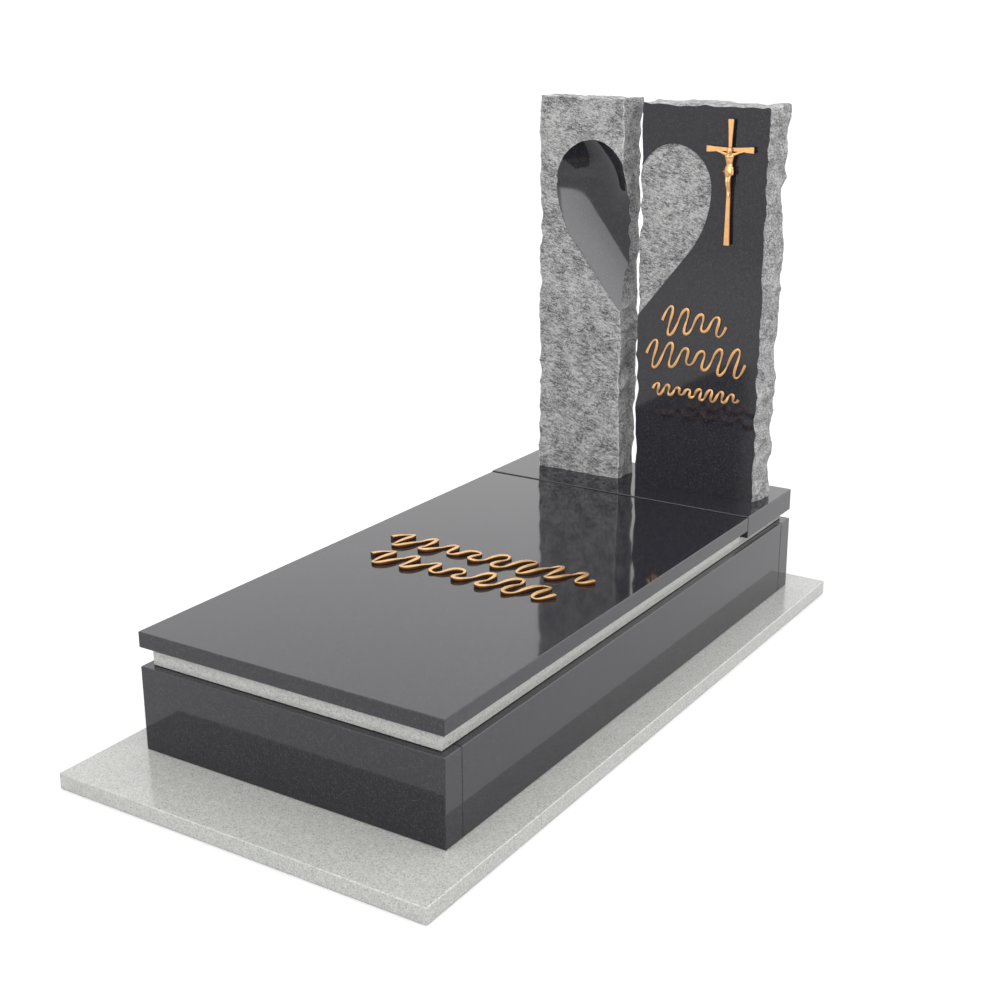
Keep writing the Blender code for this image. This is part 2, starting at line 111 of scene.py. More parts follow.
scene = bpy.context.scene
scene.view_settings.view_transform = "Standard"
world = bpy.data.worlds.new("studio")
world.use_nodes = True
scene.world = world
sky = world.node_tree.nodes
aim = sky.new("ShaderNodeTexCoord")
lean = sky.new("ShaderNodeVectorMath")
lean.operation = "DOT_PRODUCT"
lean.inputs[1].default_value = RIGHT_WAY
soft = sky.new("ShaderNodeMapRange")
soft.interpolation_type = "SMOOTHSTEP"
soft.inputs["From Min"].default_value = SKY_FROM
soft.inputs["From Max"].default_value = SKY_TO
soft.inputs["To Min"].default_value = SKY
soft.inputs["To Max"].default_value = SKY + SKY_RIGHT
sky["Background"].inputs["Color"].default_value = (1.0, 1.0, 1.0, 1.0)
world.node_tree.links.new(aim.outputs["Generated"], lean.inputs[0])
world.node_tree.links.new(lean.outputs["Value"], soft.inputs["Value"])
world.node_tree.links.new(soft.outputs["Result"], sky["Background"].inputs["Strength"])

softbox = bpy.data.objects.new("softbox", bpy.data.lights.new("softbox", "AREA"))
scene.collection.objects.link(softbox)
softbox.data.shape = "RECTANGLE"
softbox.data.size, softbox.data.size_y = SOFTBOX_SIZE
softbox.data.energy = SOFTBOX_POWER
away = Vector((math.sin(SOFTBOX_BEARING), -math.cos(SOFTBOX_BEARING), 0.0))
softbox.location = SOFTBOX_AIM + away * SOFTBOX_AWAY + Vector((0, 0, SOFTBOX_SIZE[1] / 2))
softbox.rotation_euler = (-away).to_track_quat("-Z", "Y").to_euler()
print("softbox stands at", [round(v, 2) for v in softbox.location])

# %% [markdown]
# ## Shader maths as plain expressions
# A finish is mostly arithmetic on patterns: this noise, less that, where a mask is set.
# Node by node that is hard to read. `Wire` holds a socket and turns `+`, `-` and `*` into
# Math nodes, so a formula stays a formula. `Finish` is one material: its `node` method
# adds any other node, with its settings first and its sockets after.

# %% Wire and Finish
class Wire:
    """A socket that can be used in a sum."""

    def __init__(self, finish, socket):
        self.finish = finish
        self.socket = socket

    def math(self, operation, *others):
        sockets = dict(enumerate((self,) + others))
        return self.finish.node("ShaderNodeMath", {"operation": operation}, sockets)

    def __add__(self, other):
        return self.math("ADD", other)

    def __radd__(self, other):
        return self.math("ADD", other)

    def __sub__(self, other):
        return self.math("SUBTRACT", other)

    def __rsub__(self, other):
        return self.finish.node("ShaderNodeMath", {"operation": "SUBTRACT"}, {0: other, 1: self})

    def __mul__(self, other):
        return self.math("MULTIPLY", other)

    def __rmul__(self, other):
        return self.math("MULTIPLY", other)

    def clamp(self):
        return self.math("MINIMUM", 1.0).math("MAXIMUM", 0.0)

    def ramp(self, low, high):
        """0 below low, 1 above high, and a straight line between."""
        return ((self - low) * (1.0 / (high - low))).clamp()


class Finish:
    """One material, built from expressions."""

    def __init__(self, name, preview, **constants):
        self.material = bpy.data.materials.new(name)
        self.material.use_nodes = True
        self.material.diffuse_color = (*preview, 1.0)
        self.tree = self.material.node_tree
        self.shader = self.tree.nodes["Principled BSDF"]
        for socket, value in constants.items():
            self.shader.inputs[socket.replace("_", " ")].default_value = value
        self.place = self.node("ShaderNodeTexCoord", {}, {}, "Object")

    def node(self, kind, settings, sockets, output=0):
        """Adds a node and returns one of its outputs as a Wire."""
        added = self.tree.nodes.new(kind)
        for key, value in settings.items():
            setattr(added, key, value)
        for key, value in sockets.items():
            if isinstance(value, Wire):
                self.tree.links.new(value.socket, added.inputs[key])
            else:
                added.inputs[key].default_value = value
        return Wire(self, added.outputs[output])

    def turned(self, turn, stretch):
        """Object coordinates in metres, for a pattern that is turned and stretched."""
        sockets = {"Vector": self.place, "Rotation": turn, "Scale": stretch}
        return self.node("ShaderNodeMapping", {"vector_type": "TEXTURE"}, sockets)

    def noise(self, size, detail=2.0, rough=0.5, where=None, curl=0.0):
        """Soft noise with features of about that size, in metres."""
        sockets = {"Vector": where or self.place, "Scale": 1.0 / size, "Detail": detail}
        sockets.update({"Roughness": rough, "Distortion": curl})
        return self.node("ShaderNodeTexNoise", {}, sockets)

    def grains(self, size):
        """Cells of about that size, each with a value of its own."""
        sockets = {"Vector": self.place, "Scale": 1.0 / size}
        cells = self.node("ShaderNodeTexVoronoi", {}, sockets, "Color")
        return self.node("ShaderNodeSeparateColor", {}, {"Color": cells})

    def mix(self, factor, low, high):
        """A colour between two others."""
        added = self.tree.nodes.new("ShaderNodeMix")
        added.data_type = "RGBA"
        for index, value in ((0, factor), (6, low), (7, high)):
            if isinstance(value, Wire):
                self.tree.links.new(value.socket, added.inputs[index])
            else:
                added.inputs[index].default_value = value if index == 0 else (*value, 1.0)
        return Wire(self, added.outputs[2])

    def bump(self, height, distance, strength=1.0):
        sockets = {"Height": height, "Distance": distance, "Strength": strength}
        return self.node("ShaderNodeBump", {}, sockets, "Normal")

    def feed(self, **wires):
        """Links expressions to the shader's sockets."""
        for socket, wire in wires.items():
            self.tree.links.new(wire.socket, self.shader.inputs[socket.replace("_", " ")])
        return self.material


# %% [markdown]
# ## Dark polished granite
# The ledger, the kerb and the right stele are sawn from one dark stone. It is nearly
# black, with a faint violet cast and light mica specks a millimetre or two across. A
# Voronoi texture suits specks, because each cell gets one value and only the brightest
# few are kept. The polish is a low roughness, and soft noise keeps it from being perfect.

# %% Dark granite
DARK_BODY = (0.0048, 0.0045, 0.0066)
DARK_CLOUD = (0.0085, 0.0082, 0.0110)
DARK_SPECK = (0.055, 0.055, 0.062)
CLOUD_SIZE = 0.012
MICA_SIZE = 0.0015
FLECK_SIZE = 0.0028

polished = Finish("polished_dark_granite", DARK_BODY, Specular_IOR_Level=0.45)
cloud = polished.noise(CLOUD_SIZE, 3.0, 0.6).ramp(0.35, 0.70)
mica = polished.grains(MICA_SIZE).ramp(0.90, 0.98)
fleck = polished.grains(FLECK_SIZE).ramp(0.95, 1.0) * polished.noise(MICA_SIZE).ramp(0.45, 0.6)
stone = polished.mix(cloud, DARK_BODY, DARK_CLOUD)
stone = polished.mix((mica * 0.45 + fleck * 0.6).clamp(), stone, DARK_SPECK)
polish = 0.045 + 0.03 * polished.noise(0.25, 2.0) + 0.05 * mica
dark_granite = polished.feed(Base_Color=stone, Roughness=polish)
print("made", dark_granite.name)

# %% [markdown]
# ## Light granite
# The border and the thin strips are a pale grey granite, an even mix of white, grey and
# a few black grains. Three Voronoi patterns at different sizes give the three minerals,
# and each is laid over the last. It is less glossy than the dark stone.

# %% Light granite
LIGHT_BODY = (0.210, 0.213, 0.201)
LIGHT_PALE = (0.247, 0.250, 0.239)
LIGHT_GREY = (0.162, 0.164, 0.157)
LIGHT_BLACK = (0.080, 0.080, 0.080)
PALE_GRAIN = 0.0042
GREY_GRAIN = 0.0030
BLACK_GRAIN = 0.0021
DRIFT_SIZE = 0.14

honed = Finish("honed_light_granite", LIGHT_BODY)
stone = honed.mix(honed.grains(PALE_GRAIN).ramp(0.35, 0.75), LIGHT_BODY, LIGHT_PALE)
stone = honed.mix(honed.grains(GREY_GRAIN).ramp(0.70, 0.90) * 0.8, stone, LIGHT_GREY)
stone = honed.mix(honed.grains(BLACK_GRAIN).ramp(0.955, 0.975) * 0.8, stone, LIGHT_BLACK)
drift = honed.noise(DRIFT_SIZE, 3.0, 0.55).ramp(0.3, 0.8)
stone = honed.mix(drift * 0.16, stone, LIGHT_GREY)
light_granite = honed.feed(
    Base_Color=stone,
    Roughness=0.10 + 0.06 * honed.noise(0.01, 3.0),
    Normal=honed.bump(honed.noise(0.003, 3.0), 0.0002, 0.3),
)
print("made", light_granite.name)

# %% [markdown]
# ## Split granite
# Where the same stone is split and hewn, it turns pale: broken crystals scatter light
# like crushed glass. The tool leaves short slanting marks. They come from noise that is
# stretched along one direction by a Mapping node, once wide and once fine. The big
# relief is in the mesh, and a Bump node adds what is finer than the mesh. Along a hewn
# arris the stone is bruised nearly white: the mesh carries a `bruise` attribute there,
# which an Attribute node reads.

# %% Split granite
SPLIT_PALE = (0.262, 0.262, 0.260)
SPLIT_GREY = (0.110, 0.110, 0.110)
SPLIT_DARK = (0.022, 0.022, 0.024)
SPLIT_BRUISE = (0.42, 0.42, 0.42)
MARK_TURN = (0.0, math.radians(14), 0.0)
MARK_STRETCH = (2.7, 1.5, 0.9)
WIDE_MARK = 0.0068
FINE_MARK = 0.0031
PATCH_SIZE = 0.050
CRUMB_SIZE = 0.0022

split = Finish("split_granite", SPLIT_GREY, Specular_IOR_Level=0.35)
along_marks = split.turned(MARK_TURN, MARK_STRETCH)
wide = split.noise(WIDE_MARK, 3.0, 0.6, along_marks, 1.0)
fine = split.noise(FINE_MARK, 3.0, 0.65, along_marks, 0.8)
patch = split.noise(PATCH_SIZE)
crumb = split.grains(CRUMB_SIZE)
tone = wide * 0.9 + fine * 0.9 + patch * 0.45 + crumb * 0.20
stone = split.mix(tone.ramp(0.95, 1.18), SPLIT_DARK, SPLIT_GREY)
stone = split.mix(tone.ramp(1.14, 1.40), stone, SPLIT_PALE)
bruise = split.node("ShaderNodeAttribute", {"attribute_name": "bruise"}, {}, "Fac")
bruise = bruise.ramp(0.1, 0.8) * split.noise(0.016).ramp(0.38, 0.62)
stone = split.mix(bruise * 0.75, stone, SPLIT_BRUISE)
split_granite = split.feed(
    Base_Color=stone,
    Roughness=0.62 + 0.3 * fine,
    Normal=split.bump(wide * 0.7 + fine * 0.4 + crumb * 0.12, 0.006, 0.9),
)
print("made", split_granite.name)

# %% [markdown]
# ## Gold-coloured casting
# The crucifix and the strokes are cast and lacquered: a warm metal with a satin skin.
# A little noise in the roughness gives broken highlights, and a fine bump stands for
# the skin that sand leaves on a casting. The sides are painted dark, as painted shade:
# the colour follows the way each face looks, by the dot product of its normal and the
# direction out of the stone, towards the main light. Faces that look that way get the
# bright colour, and faces that turn aside get the painted shade colour. One function makes
# the gold for upright work and the gold for work that lies flat.

# %% Gold
# The warm colours are the metal, and the deep colours are painted shade for the sides.
GOLD_WARM = (0.53, 0.295, 0.130)
GOLD_SHADED_SIDE = (0.26, 0.130, 0.050)
FLAT_WARM = (0.520, 0.315, 0.145)
FLAT_SHADED_SIDE = (0.085, 0.038, 0.010)
TARNISH_SIZE = 0.018
SATIN_SIZE = 0.006
SAND_SIZE = 0.0016


def casting(name, warm, deep, out):
    """Gold that is bright where a face looks the way of out, and painted dark as shade at the
    sides.
    """
    cast = Finish(name, warm, Metallic=0.85)
    tarnish = cast.noise(TARNISH_SIZE, 3.0, 0.6).ramp(0.45, 0.85)
    looks = cast.node("ShaderNodeTexCoord", {}, {}, "Normal")
    dot = {"operation": "DOT_PRODUCT"}
    front = cast.node("ShaderNodeVectorMath", dot, {0: looks, 1: out}, "Value")
    return cast.feed(
        # Painted shade: the deep colour is laid on faces that turn away from out, as if they were
        # in shade.
        Base_Color=cast.mix(front.ramp(0.1, 0.7) * (1.0 - 0.4 * tarnish), deep, warm),
        Roughness=0.28 + 0.16 * cast.noise(SATIN_SIZE, 3.0),
        Normal=cast.bump(cast.noise(SAND_SIZE), 0.0003, 0.35),
    )


gold = casting("gold_casting", GOLD_WARM, GOLD_SHADED_SIDE, (0, -1, 0))
flat_gold = casting("flat_gold_casting", FLAT_WARM, FLAT_SHADED_SIDE, (0, 0, 1))
print("made", gold.name, "and", flat_gold.name)

# %% [markdown]
# ## Slabs
# Sawn slabs are true boxes with a small chamfer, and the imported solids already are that.
# They only need their stone. Each keeps its own object, so its material slots are set
# and nothing is moved.

# %% Give the slabs their stone
DARK_SLABS = ("kerb_front", "kerb_rear", "kerb_left", "kerb_right", "ledger", "socle")
LIGHT_SLABS = (
    "base_front", "base_left", "base_right", "base_rear",
    "strip_front", "strip_left", "strip_right",
    "socle_strip_left", "socle_strip_right", "socle_strip_rear",
)


def set_stone(names, material):
    for name in names:
        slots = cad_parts[name].data.materials
        slots.clear()
        slots.append(material)
    print(len(names), "slabs in", material.name)


set_stone(DARK_SLABS, dark_granite)
set_stone(LIGHT_SLABS, light_granite)

# %% [markdown]
# ## The heart's outline
# Both halves of the heart follow one outline, measured from the middle of the gap. A
# straight flank rises from the tip, runs into a wide arc at the side, and that runs into
# the smaller arc of the lobe. Arcs that touch at a tangent look drawn with a compass,
# as a mason's template is. From the top of the lobe the line falls to the gap a little
# sooner than an arc would. The sizes are in metres and match the solids.

# %% Heart outline
STELE_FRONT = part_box("right_stele")[0].y
STELE_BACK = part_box("right_stele")[1].y
STELE_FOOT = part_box("right_stele")[0].z
LEFT_STELE = (-0.350, -0.065, 1.172)  # left side, right side, height over the foot
RIGHT_STELE = (0.000, 0.400, 1.160)
HEART_MIDDLE = (LEFT_STELE[1] + RIGHT_STELE[0]) / 2
HEART_HALF = 0.260
HALF_TO_HEIGHT = 0.469
HEART_HEIGHT = HEART_HALF / HALF_TO_HEIGHT
HEART_BELOW_TOP = 0.110
HEART_TIP = STELE_FOOT + RIGHT_STELE[2] - HEART_BELOW_TOP - HEART_HEIGHT
LOBE_SHARE = 0.229
SIDE_SHARE = 0.5415
CLEFT_FALL = 1.3
CLEFT_HALF = 0.013


def heart_outline(steps):
    """(distance from the middle, height) of one half, from the tip over the lobe."""
    lobe = LOBE_SHARE * HEART_HEIGHT
    side = SIDE_SHARE * HEART_HEIGHT
    level = HEART_TIP + HEART_HEIGHT - lobe
    side_middle = HEART_HALF - side
    reach = math.hypot(side_middle, level - HEART_TIP)
    start = math.atan2(HEART_TIP - level, -side_middle) + math.acos(min(1.0, side / reach))
    points = [(0.0, HEART_TIP)]
    for i in range(steps + 1):
        angle = start * (1 - i / steps)
        points.append((side_middle + side * math.cos(angle), level + side * math.sin(angle)))
    lobe_middle = HEART_HALF - lobe
    quarter = np.linspace(0, math.pi / 2, steps + 1)[1:]
    for angle in quarter:
        points.append((lobe_middle + lobe * math.cos(angle), level + lobe * math.sin(angle)))
    for angle in quarter:
        fall = max(0.0, math.cos(angle)) ** CLEFT_FALL
        inward = (lobe_middle - CLEFT_HALF) * math.sin(angle)
        points.append((lobe_middle - inward, level + lobe * fall))
    return np.array(points)


outline = heart_outline(60)
print("heart, mm:", round(2000 * HEART_HALF), "wide,", round(1000 * HEART_HEIGHT), "high")

# %% [markdown]
# ## Tools for cutting the heart
# A mason cuts the left half as a smooth polished dish, and works the right half flat and
# rough. Both are made here as a solid that stands over the face and is taken away from
# it with a Boolean. Its floor is a grid of columns inside the outline, so the rim is as
# crisp as the outline is fine, and the floor may have any depth.

# %% Heart cutter
TOUCH = 1e-6
CUTTER_STANDS = 0.02
DISH_DEPTH = 0.048
DISH_REACH = 0.120
DISH_SWEEP = 2.2


def level_at(branch, distances):
    """Heights of one branch of the outline at given distances from the middle."""
    order = np.argsort(branch[:, 0])
    return np.interp(distances, branch[order, 0], branch[order, 1])


def distance_to_rim(points):
    """Distance of each (distance, height) point to the outline."""
    best = np.full(len(points), 1.0)
    for a, b in zip(outline[:-1], outline[1:]):
        run = b - a
        share = np.clip(((points - a) @ run) / max(run @ run, 1e-12), 0, 1)
        best = np.minimum(best, np.linalg.norm(points - a - share[:, None] * run, axis=1))
    return best


def heart_cutter(name, side, floor_depth, columns, rows, material):
    """A solid over one half of the heart; side is -1 for the left half and 1 for the right."""
    widest = int(np.argmax(outline[:, 0]))
    near = outline[-1, 0]
    share = np.linspace(0, 1, columns + 1)
    distances = near + (HEART_HALF - near) * np.sin(0.5 * math.pi * share)
    low = level_at(outline[:widest + 1], distances)
    high = level_at(outline[widest:], distances)
    up = 0.5 - 0.5 * np.cos(math.pi * np.linspace(0, 1, rows + 1))
    heights = low[:, None] + (high - low)[:, None] * up[None, :]
    flat = np.stack([np.repeat(distances, rows + 1), heights.ravel()], axis=1)
    depth = floor_depth(flat, distance_to_rim(flat))
    x = HEART_MIDDLE + side * flat[:, 0]
    floor = np.stack([x, STELE_FRONT + depth, flat[:, 1]], axis=1)
    front = np.stack([x, np.full(len(x), STELE_FRONT - CUTTER_STANDS), flat[:, 1]], axis=1)
    bm = bmesh.new()
    layers = [[bm.verts.new(p) for p in layer] for layer in (floor, front)]
    stride = rows + 1
    for layer in layers:
        for i in range(columns):
            for j in range(rows):
                a = i * stride + j
                bm.faces.new((layer[a], layer[a + 1], layer[a + stride + 1], layer[a + stride]))
    rim = list(range(stride))
    rim += [i * stride + rows for i in range(1, columns)]
    rim += [columns * stride + j for j in range(rows, -1, -1)]
    rim += [i * stride for i in range(columns - 1, 0, -1)]
    for a, b in zip(rim, rim[1:] + rim[:1]):
        bm.faces.new((layers[0][a], layers[0][b], layers[1][b], layers[1][a]))
    bmesh.ops.remove_doubles(bm, verts=bm.verts, dist=TOUCH)
    bmesh.ops.recalc_face_normals(bm, faces=bm.faces)
    mesh = bpy.data.meshes.new(name)
    bm.to_mesh(mesh)
    bm.free()
    mesh.materials.append(material)
    cutter = bpy.data.objects.new(name, mesh)
    scene.collection.objects.link(cutter)
    return cutter


def dish_depth(points, to_rim):
    """The polished dish: steep at the rim and level at 12 cm from it."""
    share = np.minimum(1.0, to_rim / DISH_REACH)
    return DISH_DEPTH * (1 - (1 - share) ** DISH_SWEEP)


# %% [markdown]
# ## Relief of hewn stone
# Split stone has relief at three sizes: broad swells, chips of a centimetre or two that
# slant one way, and crumbs. The first two are worth modelling, because they break the
# outline and catch light in every view. `noise.noise` from Blender's mathutils gives the
# same value for the same place on every run, so nothing here is random.

# %% Relief functions
CHIP_SLANT = 0.66
BELLY_DEPTHS = (0.0, 0.25, 0.60, 1.0)
BELLY_STANDS = (0.0, 0.55, 0.85, 1.0)


def chips(x, y, z):
    """Slanting chips on a hewn face, about -1 to 1; the counts are chips per metre."""
    along = x * math.cos(CHIP_SLANT) + z * math.sin(CHIP_SLANT)
    across = -x * math.sin(CHIP_SLANT) + z * math.cos(CHIP_SLANT)
    coarse = noise.noise((along * 26, y * 40, across * 62))
    middle = noise.noise((along * 60 + 7, y * 90, across * 150))
    return 0.62 * (1 - 2.6 * abs(coarse)) + 0.75 * middle


def scallops(along, depth, seed):
    """Bites that a pitching chisel leaves along an edge, about -1 to 1."""
    swell = noise.noise((along * 8, depth * 9, seed))
    bite = abs(noise.noise((along * 14, depth * 13, seed + 5.3)))
    chip = noise.noise((along * 60, depth * 60, seed + 9.1))
    return 0.6 * swell + (0.30 - 1.5 * bite) + 0.13 * chip


def belly(depth):
    """How far a pitched side stands out, from the front arris (0) to the rear one (1)."""
    return float(np.interp(depth, BELLY_DEPTHS, BELLY_STANDS))


# %% [markdown]
# ## Blocks of split stone
# A stele starts as a box of small squares, a few millimetres each, whose six sides share
# their edges. Each vertex is then pushed: those on a side go in or out with the
# scallops, those on a hewn face with the chips. A vertex near an edge follows the side
# by a share that fades inward over a hem, so the arris waves without a gap. `stand` says
# how far the left side, the right side and the top stand out at the rear arris.

# %% Block builder
HEM = 0.024
SAWN_STEP = 0.030
BITE_FRONT = 0.0095
BITE_MORE = 0.0035
SIDE_STRETCH = 0.1
CORNER_STANDS = 0.8
CORNER_REACH = 0.10
CALM_HEM = 0.01
CALM_SHARE = 0.6
CHIP_DEPTH = 0.0026
CRUMB_DEPTH = 0.0016


def lattice(low, high, step, edge=0.0, inner=0.0):
    """Positions from low to high; with an edge width, steps are wider inside it."""
    if not inner:
        return np.linspace(low, high, max(2, round((high - low) / step) + 1))
    skin = max(2, round(edge / step) + 1)
    middle = max(2, round((high - low - 2 * edge) / inner) + 1)
    first = np.linspace(low, low + edge, skin)
    between = np.linspace(low + edge, high - edge, middle)[1:-1]
    return np.concatenate([first, between, np.linspace(high - edge, high, skin)])


def box_shell(xs, ys, zs):
    """A closed box of squares through three rows of positions, as a bmesh."""
    bm = bmesh.new()
    sizes = (len(xs), len(ys), len(zs))
    made = {}

    def corner(key):
        if key not in made:
            made[key] = bm.verts.new((xs[key[0]], ys[key[1]], zs[key[2]]))
        return made[key]

    for axis in range(3):
        u, v = [a for a in range(3) if a != axis]
        for end in (0, sizes[axis] - 1):
            for i in range(sizes[u] - 1):
                for j in range(sizes[v] - 1):
                    keys = []
                    for di, dj in ((0, 0), (1, 0), (1, 1), (0, 1)):
                        key = [0, 0, 0]
                        key[axis], key[u], key[v] = end, i + di, j + dj
                        keys.append(tuple(key))
                    outward = (end > 0) == (axis != 1)
                    keys = keys if outward else keys[::-1]
                    bm.faces.new([corner(k) for k in keys])
    return bm


def fade(distance, width):
    """1 at an edge, and 0 from a width away from it."""
    share = max(0.0, 1.0 - distance / width)
    return share * share * (3 - 2 * share)


def pitched(from_edge, stands, proud, bites):
    """How far a vertex goes out with a pitched side that is from_edge away."""
    reach = BITE_FRONT + BITE_MORE * proud
    return fade(from_edge, HEM) * (stands * proud + reach * bites)


def stele_block(name, span, step, hewn, stand, seed):
    """One stele: pitched sides and top, and faces that are hewn or sawn flat."""
    x0, x1, height = span
    z0, z1 = STELE_FOOT, STELE_FOOT + height
    thick = STELE_BACK - STELE_FRONT
    xs = lattice(x0, x1, step, HEM, 0.0 if hewn else SAWN_STEP)
    ys = lattice(STELE_FRONT, STELE_BACK, step)
    zs = lattice(z0, z1, step)
    bm = box_shell(xs, ys, zs)
    bruise = bm.verts.layers.float.new("bruise")
    for vertex in bm.verts:
        x, y, z = vertex.co
        depth = (y - STELE_FRONT) / thick
        proud = belly(depth)
        on_front = depth < TOUCH
        on_back = depth > 1 - TOUCH
        side_depth = depth * SIDE_STRETCH
        left = pitched(x - x0, stand[0], proud, scallops(z, side_depth, seed))
        right = pitched(x1 - x, stand[1], proud, scallops(z, side_depth, seed + 20))
        right += fade(x1 - x, HEM) * stand[1] * CORNER_STANDS * proud * fade(z1 - z, CORNER_REACH)
        top = pitched(z1 - z, stand[2], proud, scallops(x, side_depth, seed + 40))
        out = 0.0
        if hewn:
            inside = 1 - CALM_SHARE * max(fade(x - x0, CALM_HEM), fade(x1 - x, CALM_HEM))
            if on_front:
                out = -CHIP_DEPTH * inside * (chips(x, seed, z) + 0.1)
            elif on_back:
                out = CHIP_DEPTH * inside * chips(x, seed + 3, z)
            on_arris = on_front and min(x - x0, x1 - x, z1 - z) < TOUCH
            vertex[bruise] = 1.0 if on_arris else 0.0
        on_side = min(x - x0, x1 - x) < TOUCH and not on_front and not on_back
        crumb = CRUMB_DEPTH * chips(z, x + seed, y) if on_side else 0.0
        vertex.co.x += right - left + (crumb if x > (x0 + x1) / 2 else -crumb)
        vertex.co.y += out
        vertex.co.z += top if z > z0 + TOUCH else 0.0
    mesh = bpy.data.meshes.new(name)
    bm.normal_update()
    bm.to_mesh(mesh)
    bm.free()
    mesh.materials.append(split_granite)
    mesh.materials.append(dark_granite)
    stele = bpy.data.objects.new(name, mesh)
    scene.collection.objects.link(stele)
    return stele


# %% [markdown]
# ## Cutting and finishing a stele
# The Boolean's result is read back as a plain mesh, because what is kept should not
# depend on a live modifier. Faces that come from the cutter bring their own stone. Edges
# between two stones and sharp arrises are marked, so that smooth shading stops there.

# %% Cut and shade
def made_plain(obj):
    """The object's evaluated mesh takes its mesh's place, and its modifiers go."""
    evaluated = obj.evaluated_get(bpy.context.evaluated_depsgraph_get())
    plain = bpy.data.meshes.new_from_object(evaluated)
    obj.modifiers.clear()
    obj.data = plain
    return obj


def cut_away(obj, cutter):
    boolean = obj.modifiers.new("cut", "BOOLEAN")
    boolean.operation = "DIFFERENCE"
    boolean.solver = "EXACT"
    boolean.material_mode = "TRANSFER"
    boolean.object = cutter
    made_plain(obj)
    bpy.data.objects.remove(cutter)


def shade(obj, sharp_degrees):
    """Smooth shading that stops at sharp edges and where the stone changes."""
    bm = bmesh.new()
    bm.from_mesh(obj.data)
    bmesh.ops.remove_doubles(bm, verts=bm.verts, dist=TOUCH)
    limit = math.radians(sharp_degrees)
    for face in bm.faces:
        face.smooth = True
    for edge in bm.edges:
        pair = edge.link_faces
        if len(pair) == 2:
            change = pair[0].material_index != pair[1].material_index
            edge.smooth = not change and edge.calc_face_angle(0.0) < limit
    bm.to_mesh(obj.data)
    bm.free()


# %% [markdown]
# ## Left stele
# It is hewn on every side. Only the dish in the form of half a heart is polished, and it
# runs out through the side that faces the gap. A grid of 4 mm is fine enough for chips
# that are a centimetre long.

# %% Build the left stele
GRID_STEP = 0.004
STONE_ARRIS = 50
LEFT_STAND = (0.004, 0.007, -0.001)
left_stele = stele_block("left_stele_stone", LEFT_STELE, GRID_STEP, True, LEFT_STAND, 1.7)
cut_away(left_stele, heart_cutter("dish", -1, dish_depth, 48, 96, dark_granite))
shade(left_stele, STONE_ARRIS)
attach(left_stele, "root")
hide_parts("left_stele")
print("left stele:", len(left_stele.data.polygons), "faces")

# %% [markdown]
# ## Right stele
# Its face and back are polished, its sides and top are pitched, and its half of the
# heart is left rough, sunk by a few millimetres. The polished faces are flat, so their
# columns are narrow only along the sides.

# %% Build the right stele
ROUGH_SUNK = 0.0035
ROUGH_RELIEF = 0.0022
ROUGH_CALM = 0.006


def rough_depth(points, to_rim):
    """The floor of the rough half heart: chips that die out at the rim."""
    relief = np.array([chips(p[0], 8.0, p[1]) for p in points])
    return ROUGH_SUNK + np.minimum(1.0, to_rim / ROUGH_CALM) * ROUGH_RELIEF * relief


RIGHT_STAND = (0.003, 0.013, 0.004)
right_stele = stele_block("right_stele_stone", RIGHT_STELE, GRID_STEP, False, RIGHT_STAND, 6.4)
stele_middle = (STELE_FRONT + STELE_BACK) / 2
sawn_at = (STELE_BACK - STELE_FRONT) / 2 - 0.0001
for face in right_stele.data.polygons:
    sawn = abs(face.normal.y) > 0.999 and abs(face.center.y - stele_middle) > sawn_at
    face.material_index = 1 if sawn else 0
cut_away(right_stele, heart_cutter("rough_half", 1, rough_depth, 80, 150, split_granite))
shade(right_stele, STONE_ARRIS)
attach(right_stele, "root")
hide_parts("right_stele")
print("right stele:", len(right_stele.data.polygons), "faces")

# %% [markdown]
# ## Gold strokes
# Rows of raised strokes lie on the right stele and on the ledger. They say nothing: each
# row is one running wave with tall and low swings, thick on the upright parts and thin
# in the turns, as a broad pen would draw it. A path with a rule is work for Geometry
# Nodes. One tree serves all five rows, and each row sets its own length, height, number
# of waves, pen and metal.

# %% Stroke tree
class Tree(Finish):
    """A Geometry Nodes tree that is written like a finish."""

    def __init__(self, name):
        self.tree = bpy.data.node_groups.new(name, "GeometryNodeTree")
        self.sockets = {}
        for way in ("INPUT", "OUTPUT"):
            self.tree.interface.new_socket("Geometry", in_out=way, socket_type="NodeSocketGeometry")

    def takes(self, name, value, kind="NodeSocketFloat"):
        """Adds an input of the group, with the value it has when a row sets none."""
        socket = self.tree.interface.new_socket(name, in_out="INPUT", socket_type=kind)
        socket.default_value = value
        self.sockets[name] = socket.identifier

    def start(self):
        """Wires of the group's inputs, by name."""
        group = self.tree.nodes.new("NodeGroupInput")
        return {s.name: Wire(self, s) for s in group.outputs if s.name}

    def end(self, geometry):
        group = self.tree.nodes.new("NodeGroupOutput")
        self.tree.links.new(geometry.socket, group.inputs[0])


STROKE_SIZES = {"Length": 0.3, "Half Height": 0.04, "Width": 0.007, "Thickness": 0.004}
STROKE_SLANT = 0.35
STROKE_STEPS = 26
CROWDING = 0.40

